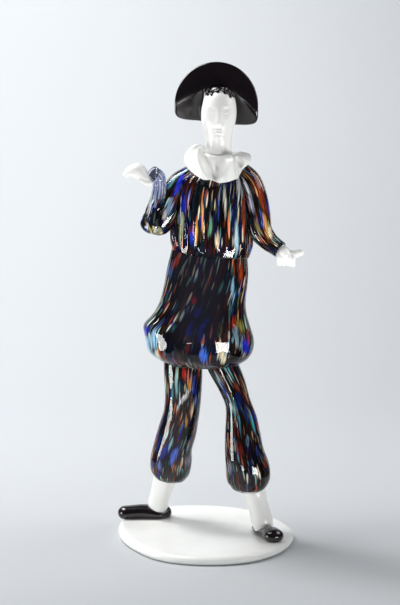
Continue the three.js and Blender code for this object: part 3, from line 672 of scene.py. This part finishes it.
raisedForearm = {
    "rows": [
        (-41.4, -8, 252.6, 9.4, 9.6), (-39.4, -9.5, 262, 7.2, 8.4), (-36.9, -11, 273, 5.8, 7),
        (-35.6, -11.8, 282, 5.1, 6), (-37, -12.6, 288, 6, 6.2), (-41.6, -15.2, 291.4, 6.5, 6.9)],
    **sleeve, "caps": (8.2, -2.6), "casing": 1.75, "ends": (0, 2), "around": 14, "lengths": (9, 12),
    "offset": 27.7, "front": 20,
    "blots": [
        (-36.8, 286, 9, 15, "#9aa2c2"), (-38.6, 258, 6, 10, 0.2, "#0b0a0c"),
        # the long white line below on the forearm's left edge: partly a white streak, partly painted
        # highlight
        (-41.8, 270.6, 1.3, 14, 0.19, "#ececee"), (-38.4, 274, 1.6, 10, 0.1, "#a6b2cc"),
        (-39.4, 248.5, 1.6, 6, -0.4, "#e8dca4"), (-43.2, 250, 1.3, 5, -0.5, "#a89a5c"),
        (-35.8, 247.5, 1.4, 4, -0.3, "#f4e8b8"), (-41.6, 246, 1, 4, -0.5, "#c8b878")],
}
loweredSleeve = {
    "rows": [
        (24.4, 0, 292, 8.2, 9), (31.9, -0.8, 283.4, 9.8, 10.8), (36.4, -2, 271, 10.2, 11.2),
        (38.9, -3.5, 258.5, 9.9, 10.6), (41.2, -5.5, 247, 9, 9.4), (46.6, -8.5, 239.6, 7.8, 8.4),
        (52, -11.5, 235.6, 6.8, 7.2), (56.4, -13.6, 232.6, 6.5, 6.6)],
    **sleeve, "caps": (3.4, -2), "ends": (0, 2.6), "around": 25, "offset": 33.1, "front": 0,
    "blots": [
        (45, 252, 2, 10, -0.2, "#e8ac5c"), (47.4, 247, 1.5, 6, -0.3, "#f8e8bc"),
        (41.5, 272, 2.2, 15, -0.3, "#8a3818"), (34, 268, 2, 7, -0.2, "#b8b8c8"),
        (39, 250, 1.8, 7, -0.3, "#7c7040"), (31, 280, 1.6, 8, -0.5, "#e4e4e6")],
}

dressPiece("tunic_skirt", [tunicSkirt], sides=312, rings=120)
dressPiece("bodice", [bodice], sides=364, rings=110)
dressPiece("rear_breeches", [rearBreeches], sides=200, rings=140)
dressPiece("front_breeches", [frontBreeches], sides=200, rings=140)
dressPiece("raised_sleeve", [raisedUpperArm, raisedForearm], sides=130, rings=90)
dressPiece("lowered_sleeve", [loweredSleeve], sides=160, rings=120)
print("costume dressed")


# Thin threads drawn along the raised forearm under its clear casing, and the cuff's mouth in painted shade
threads = {
    "count": 13, "radius": 0.3, "inset": 1.5, "shares": (0.5, 0.97), "rings": 60, "every": 4,
    "colours": ("#8ca0d8", "#f0f2fa"), "patch": 3, "patchEdge": (0.42, 0.58), "roughness": 0.4,
}
# a dark disc in the cuff's opening: painted shade
cuffMouth = {
    "rows": [(-39.9, -14.3, 290.2, 5.2, 5.5), (-40.6, -14.7, 290.7, 5.2, 5.5)], "caps": (0.3, 0.3),
    "colour": "#2c3148", "roughness": 0.2,
}


def withRadius(line, radius):
    # the rows of a round thread along a line
    return join([line, np.full((len(line), 2), radius)], axis=1)


def drawThreads():
    count, radius = threads["count"], threads["radius"]
    lines = gather(raisedForearm, count, threads["rings"], grow=-threads["inset"])["grid"]
    lines = lines[capRings:-capRings]
    first, last = [int(len(lines) * share) for share in threads["shares"]]
    skins = []
    for index in range(count):
        rows = withRadius(lines[first:last:threads["every"], index], radius)
        skins.append(skin(gather({"rows": rows, "caps": (radius, radius)}, sides=8, rings=40, capRings=2)))
    material, tree = startMaterial("blue_white_thread_glass")
    place = addNode(tree, "TexCoord").outputs["Object"]
    patch = noise(tree, place, 1 / (threads["patch"] * mm), 0.0)[0]
    finishMaterial(tree, {"Base Color": ramp(tree, patch, threads["colours"], *threads["patchEdge"]),
                          "Roughness": threads["roughness"], "Specular IOR Level": 0.0})
    addPiece(makeMesh("forearm_threads", skins), "raised_sleeve", material)


def closeCuff():
    # the cuff's opening, dark with painted shade
    material, tree = startMaterial("cuff_opening_shade")
    finishMaterial(tree, {"Base Color": linear(cuffMouth["colour"]), "Roughness": cuffMouth["roughness"]})
    mouth = makeMesh("cuff_mouth", [skin(gather(cuffMouth, sides=60, rings=4))])
    addPiece(mouth, "raised_sleeve", material)


drawThreads()
closeCuff()
print("forearm threads drawn")


# Hands: mittens of white glass pressed and pulled into fingers
raisedHand = {
    "rows": [
        (-41.6, -15.2, 285.6, 2.1, 2.4), (-46.4, -15.8, 288.4, 3.6, 3.9), (-51.4, -13.4, 292.8, 6, 6.4),
        (-57, -12, 292.6, 4.6, 6.4), (-61.5, -12.2, 290, 2.2, 4.8)],
    "caps": (2.5, 2.2),
}
raisedThumb = {
    "rows": [(-42, -16.4, 284.4, 2.2, 2.2), (-45.4, -17.4, 284.8, 2.3, 2.3), (-49, -17.6, 286.6, 2, 2)],
    "caps": (1.6, 2),
}
loweredPalm = {
    "rows": [(55.6, -13.4, 233, 4.2, 4.2), (58.2, -14.6, 231.4, 5, 6), (60.2, -15.6, 229.4, 4.8, 5.4)],
    "caps": (1.8, 4),
}
curledFingers = {
    "count": 4, "spacing": 3.5, "radius": 2.1, "lastDrop": 1,
    "line": [(54.9, -15.8, 231.6), (55.1, -18.4, 228.2), (55.3, -17.2, 223.0)], "caps": (1.6, 2),
}
loweredThumb = {
    "rows": [(61.5, -15.5, 230.2, 3.2, 3.2), (66.4, -16.4, 230, 2.9, 2.9), (71.4, -17.2, 231.2, 2.6, 2.6)],
    "caps": (2, 2.6),
}


def curledFinger(index):
    drop = curledFingers["lastDrop"] if index == curledFingers["count"] - 1 else 0
    line = np.array(curledFingers["line"]) + [index * curledFingers["spacing"], 0, -drop]
    return {"rows": withRadius(line, curledFingers["radius"]), "caps": curledFingers["caps"]}


def pressHands():
    fingers = [curledFinger(index) for index in range(curledFingers["count"])]
    raised = [skin(gather(form, sides=48, rings=50)) for form in (raisedHand, raisedThumb)]
    lowered = [skin(gather(form, sides=48, rings=40)) for form in (loweredPalm, loweredThumb, *fingers)]
    raised = melted("raised_glass_hand", raised, voxel=0.3, passes=10)
    lowered = melted("lowered_glass_hand", lowered, voxel=0.3, passes=4)
    addPiece(raised, "raised_hand", white)
    addPiece(lowered, "lowered_hand", white)


pressHands()
print("hands pressed")


# Head: an egg on a long neck. The face is calm and evenly divided in very low relief: the eyes half way up
# the head, the nose half way from there to the chin and the mouth under it
face = {"chin": 318, "crown": 358}
face["eyes"] = (face["chin"] + face["crown"]) / 2
face["nose"] = (face["chin"] + face["eyes"]) / 2
face["mouth"] = (face["chin"] + face["nose"]) / 2 + 0.6
ridge = {"depth": 2.2, "spread": 0.15, "tipSpread": 0.05, "tipAt": (0.6, 2.5), "foot": (-2, 1.4), "top": 6}
# each feature: depth, angle from the front and its spread, the part it belongs to, its height over that and
# its spread, and its bend upwards with the square of the angle from the last value
features = [
    (0.55, 0.2, 0.09, "nose", 0.4, 1.5, 0, 0), (-1.0, 0.42, 0.22, "eyes", 0.6, 3.4, 0, 0),
    (0.55, 0.42, 0.15, "eyes", -0.2, 1.5, 0, 0), (-0.22, 0.42, 0.17, "eyes", -1.3, 0.35, 0.5, 0.42),
    (0.4, 0.4, 0.28, "eyes", 4.6, 1.2, -3, 0.35), (0.75, 0, 0.24, "mouth", 0.9, 0.8, 0, 0),
    (0.75, 0, 0.24, "mouth", -1.0, 0.9, 0, 0), (-0.3, 0, 0.27, "mouth", 0, 0.4, 0, 0),
    (0.8, 0, 0.4, "chin", 0.6, 2.6, 0, 0),
]


def faceRelief(u, angle, height):
    # the ridge of the nose, then its wings, the sockets, lids, seams and brows, the lips and their crease,
    # and the chin
    front = angle + np.pi / 2
    fromFront = np.abs(np.arctan2(np.sin(front), np.cos(front)))
    foot, full = [face["nose"] + lift for lift in ridge["foot"]]
    lift, spread = ridge["tipAt"]
    width = ridge["spread"] + ridge["tipSpread"] * hump(height, face["nose"] + lift, spread)
    upright = smoothStep(foot, full, height) * (1 - smoothStep(full, face["eyes"] + ridge["top"], height))
    relief = ridge["depth"] * upright * hump(fromFront, 0, width)
    for depth, side, sideSpread, part, lift, spread, bend, bendFrom in features:
        middle = face[part] + lift + bend * (fromFront - bendFrom) ** 2
        relief = relief + depth * hump(fromFront, side, sideSpread) * hump(height, middle, spread)
    return relief


head = {
    "rows": [
        (8.9, -5, 300, 10, 10), (8.9, -5.2, 308, 10, 10), (8.8, -5.6, 316, 10.2, 10.6),
        (8.8, -6.2, 323.5, 11.3, 12), (9, -6.6, 331, 13.1, 13.6), (9.3, -6.6, 338.5, 13.3, 14),
        (9.7, -6.2, 346, 12, 12.8), (9.8, -5.8, 350.6, 9.8, 10.6), (9.8, -5.6, 353, 7.2, 8)],
    "caps": (1.5, 2.4), "level": True, "bunch": 0.5, "relief": faceRelief,
}
headMesh = makeMesh("head_and_neck", [skin(gather(head, sides=200, rings=220))])
addPiece(headMesh, "head", white)
print("head shaped")


# Ruff: a thick wavy sheet round the neck. One row for every 30 degrees from +X:
# outer radius, height of the outer edge, height at the neck, bulge
ruff = {
    "waves": [
        (24, 299.5, 304.5, 2), (26, 304.5, 305.5, -1), (22, 301, 304.5, 2), (20, 298, 304.5, 3),
        (22.5, 304, 306, 1), (26.5, 305.5, 307, 4), (26, 299.5, 305.5, 2.5), (23.5, 293, 305.5, 4),
        (21.4, 287.6, 305.5, 4), (21.2, 286.4, 305, -1.5), (23, 287.4, 305.5, 3), (21.5, 295, 305, 2)],
    "centre": (8.9, -5.5), "innerRadius": 10.6, "thickness": 3.0, "sides": 340, "sectionSides": 80,
    # folds from the neck outwards: angle there and its change in degrees, height, half width in degrees and
    # the share of the way out at which each begins
    "folds": [
        (-176, 70, 4.6, 11, 0), (-152, 62, -4, 10, 0.05), (-98, 6, -3.4, 14, 0.05), (-54, -6, 4.4, 9, 0.2),
        (-30, 0, -3, 7, 0.3), (150, 25, -2.4, 5, 0.1), (20, -10, 1.2, 12, 0.2), (90, 10, 1.6, 14, 0.2)],
    "foldRise": 0.35, "hollowEnd": (0.72, 0.98), "hollowLoss": 0.8,
}


def foldRuff():
    # in section the sheet's middle runs out and down in a soft bulge, and the thickness closes round it
    angle, phase = circle(ruff["sides"]), circle(ruff["sectionSides"])
    outer, edge, neck, bulge = np.split(around(ruff["waves"], angle), 4, axis=1)
    angle = angle[:, None]
    share = (1 - np.cos(phase)) / 2
    run = outer - ruff["innerRadius"]
    slope = (edge - neck + bulge * np.pi * np.cos(np.pi * share)) / run
    half = ruff["thickness"] / 2 * np.sin(phase)
    tilt = np.hypot(1, slope)
    for start, swing, rise, spread, begin in ruff["folds"]:
        away = (np.degrees(angle) - start - swing * share + 180) % 360 - 180
        risen = smoothStep(begin, begin + ruff["foldRise"], share)
        if rise < 0:
            # hollows stop short of the edge
            risen = risen * (1 - ruff["hollowLoss"] * smoothStep(*ruff["hollowEnd"], share))
        half = half + rise * hump(away, 0, spread) * risen
    reach = ruff["innerRadius"] + run * share - half * slope / tilt
    height = neck + (edge - neck) * share + bulge * np.sin(np.pi * share) + half / tilt
    x, y = ruff["centre"]
    grid = np.stack([x + reach * np.cos(angle), y + reach * np.sin(angle), height], -1)
    addPiece(makeMesh("wavy_ruff", [hoop(grid)]), "ruff", white)


foldRuff()
print("ruff folded")


# Hat: an upright front like a broad half disc, folded along an arch, with the crown and a lower back behind
# it. Front and back are depths over one outline, laid out from the middle of the hat
hat = {
    "centre": (7.4, 342), "halfWidth": 31.7, "rise": 32.3, "foot": 14.6, "roll": 2.2, "leftPower": 4.7,
    "rightPower": 6.5, "arch": [3.5, 9.8, 14.4, 16.5, 13.2, 5.6, -5], "bendDepth": -4.5, "sharpness": 6,
    "leanBack": 0.42, "fallBack": 0.6, "fallRun": (8, 120), "aside": (9.5, 15), "footRoll": 0.1,
    "footRollHeight": 3, "footRollSpread": 4, "headAt": (1.5, 4), "hollow": 8, "hollowRadius": (4.4, 11),
    "backDepth": 12, "backLean": 0.1, "flapShare": 0.85, "flapDrop": 0.1, "flapLimit": 0.93, "brim": 3,
    "crown": {"centre": (2, -3), "halfWidth": 18.5, "rise": 21, "depth": 13}, "stepShare": 0.03,
    "sides": 300, "frontRings": 70, "frontMiddle": 0.02, "rimRings": 12, "brimRings": 8, "stepRings": 10,
    "crownRings": 36,
}


def hatRim(angle):
    # radius of an ellipse above, and of a squarer curve below
    x, z = np.cos(angle), np.sin(angle)
    power = np.where(x < 0, hat["leftPower"], hat["rightPower"])
    foot = hat["foot"] + hat["roll"] * x
    below = ((np.abs(x) / hat["halfWidth"]) ** power + (np.abs(z) / foot) ** power) ** (-1 / power)
    return np.where(z >= 0, 1 / np.hypot(x / hat["halfWidth"], z / hat["rise"]), below)


def hatFront(x, z):
    # above the arch the front leans back, below it it falls back and ends in a rolled foot; close to the
    # head it soon goes straight down, and a hollow takes the head
    across = x / hat["halfWidth"]
    arch = between(np.array(hat["arch"], float)[:, None], (np.clip(across, -1, 1) + 1) / 2)[..., 0]
    soft = np.hypot(z - arch, hat["sharpness"])
    above, below = 0.5 * (soft + z - arch), 0.5 * (soft - z + arch)
    headX, headTop = hat["headAt"]
    near, far = hat["fallRun"]
    run = near + (far - near) * smoothStep(*hat["aside"], np.abs(x - headX))
    foot = hat["footRollHeight"] - hat["foot"] - hat["roll"] * across
    fromHead = np.hypot(x - headX, np.maximum(z - headTop, 0))
    depth = hat["bendDepth"] + hat["leanBack"] * above + hat["fallBack"] * run * (1 - np.exp(-below / run))
    depth = depth - hat["footRoll"] * hump(z, foot, hat["footRollSpread"])
    return depth + hat["hollow"] * (1 - smoothStep(*hat["hollowRadius"], fromHead))


def hatBack(x, z):
    # the crown, a dome on the flat back flap
    crown = hat["crown"]
    crownX, crownZ = crown["centre"]
    away = np.hypot((x - crownX) / crown["halfWidth"], (z - crownZ) / crown["rise"])
    dome = crown["depth"] * np.sqrt(np.maximum(1 - away ** 2, 0))
    return np.maximum(dome, hat["backDepth"] - hat["backLean"] * (z + hat["foot"]))


def foldHat():
    angle = circle(hat["sides"])
    cosine, sine = np.cos(angle), np.sin(angle)
    rim, half = hatRim(angle), hat["brim"] / 2

    def across(side, radius):
        return radius, side(radius * cosine, radius * sine)

    shares = np.linspace(hat["frontMiddle"], 1, hat["frontRings"])
    rings = [across(hatFront, share * (rim - half)) for share in shares]
    edge, depth = rings[-1]
    for roll in np.linspace(0, np.pi, hat["rimRings"])[1:]:
        rings.append((edge + half * np.sin(roll), depth + half - half * np.cos(roll)))
    # behind: along the brim to the flap, up its edge and over the crown to the middle
    flap = np.minimum(hat["flapShare"] - hat["flapDrop"] * sine, hat["flapLimit"])
    foot, footDepth = across(hatFront, (flap + hat["stepShare"]) * rim)
    top, topDepth = across(hatBack, flap * rim)
    depth, footDepth = depth + hat["brim"], footDepth + hat["brim"]
    for share in np.linspace(0, 1, hat["brimRings"])[1:]:
        rings.append((edge + share * (foot - edge), depth + share * (footDepth - depth)))
    for share in np.linspace(0, 1, hat["stepRings"])[1:]:
        climbed = footDepth + smoothStep(0, 1, share) * (topDepth - footDepth)
        rings.append((foot + share * (top - foot), climbed))
    rings += [across(hatBack, share * top) for share in np.linspace(1, 0, hat["crownRings"])[1:-1]]
    x, z = hat["centre"]
    grid = np.array([np.stack([x + radius * cosine, depth, z + radius * sine], -1)
                     for radius, depth in rings])
    first, last = [np.array([x, across(side, 0)[1][0], z]) for side in (hatFront, hatBack)]
    mesh = makeMesh("two_cornered_hat", [skin({"grid": grid, "first": first, "last": last})])
    addPiece(mesh, "hat", black)


foldHat()
print("hat folded")


# Curls: loops of black thread coiled side by side along the brow, parted in the middle
curls = {
    "places": [
        (1.8, -9.8, 351.2), (3, -12, 349.9), (5, -13.2, 350.4), (7.2, -13, 352), (9.8, -12.6, 353.2),
        (12.4, -12.9, 352.4), (14.6, -13.4, 350.6), (16.8, -12.8, 349.6), (18.6, -9.8, 350),
        (5, -11.4, 352.6), (8.6, -11.2, 354), (12.6, -11.4, 353.8), (16, -11.4, 352.2)],
    "loopRadius": 1.3, "threadRadius": 1.15, "tilt": 0.5, "rise": 0.35, "sides": 26, "threadSides": 12,
}
# smooth hair over the crown of the head, behind the curls and under the hat
hairCap = {
    "rows": [(9.8, -5.0, 353.8, 7.8, 8.4), (9.8, -5.0, 355.2, 6.7, 7.3)], "caps": (0.8, 1.6), "level": True,
}


def coilCurls():
    # each curl is a ring of thread: centre + loop direction * (loop + thread * cos) + axis * thread * sin
    turn, phase = circle(curls["sides"]), circle(curls["threadSides"])
    skins = []
    for index, place in enumerate(curls["places"]):
        tilt = curls["tilt"] * (-1) ** index
        axis = unit(np.array([np.sin(tilt), -np.cos(tilt), curls["rise"]]))
        across = unit(np.cross(axis, (0, 0, 1)))
        out = np.cos(turn)[:, None] * across + np.sin(turn)[:, None] * np.cross(across, axis)
        reach = curls["loopRadius"] + curls["threadRadius"] * np.cos(phase)
        grid = np.array(place) + out[:, None] * reach[:, None]
        grid = grid + axis * (curls["threadRadius"] * np.sin(phase))[:, None]
        skins.append(hoop(grid))
    skins.append(skin(gather(hairCap, sides=80, rings=8)))
    addPiece(makeMesh("coiled_curls", skins), "curls", black)


coilCurls()
print("curls coiled")


# Studio: a small table under pale paper that sweeps up behind, with windows of light at the left, the front
# right and above, soft fills, a light on the paper and a dark room
studio = {
    "paper": "#c4c7ca", "paperRoughness": 0.9, "paperGloss": 0.2, "front": -250, "bend": 450, "radius": 600,
    "top": 1700, "halfWidth": 210, "spread": 900, "widens": (100, 750), "floorSteps": 16, "bendSteps": 32,
    # the first two: where the painted shade on the table's front runs, and how dark it gets
    "fade": (-0.25, -0.165), "frontShade": 0.06, "room": "#aeb4ba", "roomStrength": 0.12, "around": "#dde1e5",
    # name, place, target, width and height, watts, and whether it is a fill that leaves no glint
    "lights": [
        ("left_window", (-520, -160, 25), (0, -160, 25), (180, 280), 1.9, False),
        ("low_left_window", (-520, -150, -118), (0, -150, -118), (220, 76), 0.8, False),
        ("right_window", (400, -490, -105), (0, 0, -105), (280, 290), 5.4, False),
        ("front_strip", (-210, -640, -97), (20, 0, 110), (120, 60), 0.3, False),
        ("top_window", (-340, 60, 830), (0, 0, 150), (420, 420), 4.1, False),
        ("right_panel", (560, 60, 650), (0, 30, 200), (500, 400), 1.8, False),
        ("left_fill", (-750, -250, 480), (0, 0, 260), (500, 500), 0.8, True),
        ("paper_light", (-500, 300, 900), (-60, 1050, 450), (500, 500), 11.4, False),
        ("front_fill", (-700, -1350, 800), (0, 0, 220), (800, 800), 1.7, True),
    ],
}


def makeSweep():
    # table, quarter bend and wall in one strip, which widens behind the figure
    turn = np.linspace(0, np.pi / 2, studio["bendSteps"])
    floorRun = np.linspace(studio["front"], studio["bend"], studio["floorSteps"])[:-1]
    wall = studio["bend"] + studio["radius"]
    y = join([floorRun, studio["bend"] + studio["radius"] * np.sin(turn), [wall]])
    z = join([0 * floorRun, studio["radius"] * (1 - np.cos(turn)), [studio["top"]]])
    x = studio["halfWidth"] + (studio["spread"] - studio["halfWidth"]) * smoothStep(*studio["widens"], y)
    points = join([np.stack([side * x, y, z], -1) for side in (-1, 1)])
    left, right = np.arange(len(y) - 1), np.arange(len(y) - 1) + len(y)
    mesh = makeMesh("paper_sweep", [(points, [np.stack([left, right, right + 1, left + 1], -1)])])
    material, tree = startMaterial("matt_paper")
    # painted shade: the table darkens towards its front edge, outside the picture, as if out of the light
    depth = addNode(tree, "SeparateXYZ", {0: addNode(tree, "TexCoord").outputs["Object"]}).outputs[1]
    tone = mapRange(tree, depth, *studio["fade"], studio["frontShade"], 1.0, interpolation_type="SMOOTHSTEP")
    tone = addNode(tree, "VectorMath", {0: linear(studio["paper"])[:3], "Scale": tone}, operation="SCALE")
    finishMaterial(tree, {"Base Color": tone.outputs[0], "Roughness": studio["paperRoughness"],
                          "Specular IOR Level": studio["paperGloss"]})
    mesh.materials.append(material)
    sweep = addObject("paper_sweep", mesh)


def placeLights():
    for name, place, target, size, watts, soft in studio["lights"]:
        data = bpy.data.lights.new(name, "AREA")
        data.shape = "RECTANGLE"
        data.size, data.size_y = [length * mm for length in size]
        data.energy = watts
        lamp = addObject(name, data)
        lamp.location = Vector(place) * mm
        lamp.rotation_euler = (Vector(target) - Vector(place)).to_track_quat("-Z", "Y").to_euler()
        lamp.visible_camera = False
        lamp.visible_glossy = not soft


def makeRoom():
    # the room is dim where glass mirrors it and pale where it is seen straight or through clear glass
    room = bpy.data.worlds.new("room")
    room.use_nodes = True
    tree = room.node_tree
    tree.nodes.clear()
    path = addNode(tree, "LightPath").outputs
    direct = calc(tree, "MAXIMUM", path["Is Camera Ray"], path["Is Transmission Ray"])
    dim = addNode(tree, "Background", {0: linear(studio["room"]), 1: studio["roomStrength"]}).outputs[0]
    pale = addNode(tree, "Background", {0: linear(studio["around"]), 1: 1.0}).outputs[0]
    mixed = addNode(tree, "MixShader", {0: direct, 1: dim, 2: pale}).outputs[0]
    addNode(tree, "OutputWorld", {"Surface": mixed})
    scene.world = room
    scene.view_settings.view_transform = "Standard"


makeSweep()
placeLights()
makeRoom()
print("studio lit")
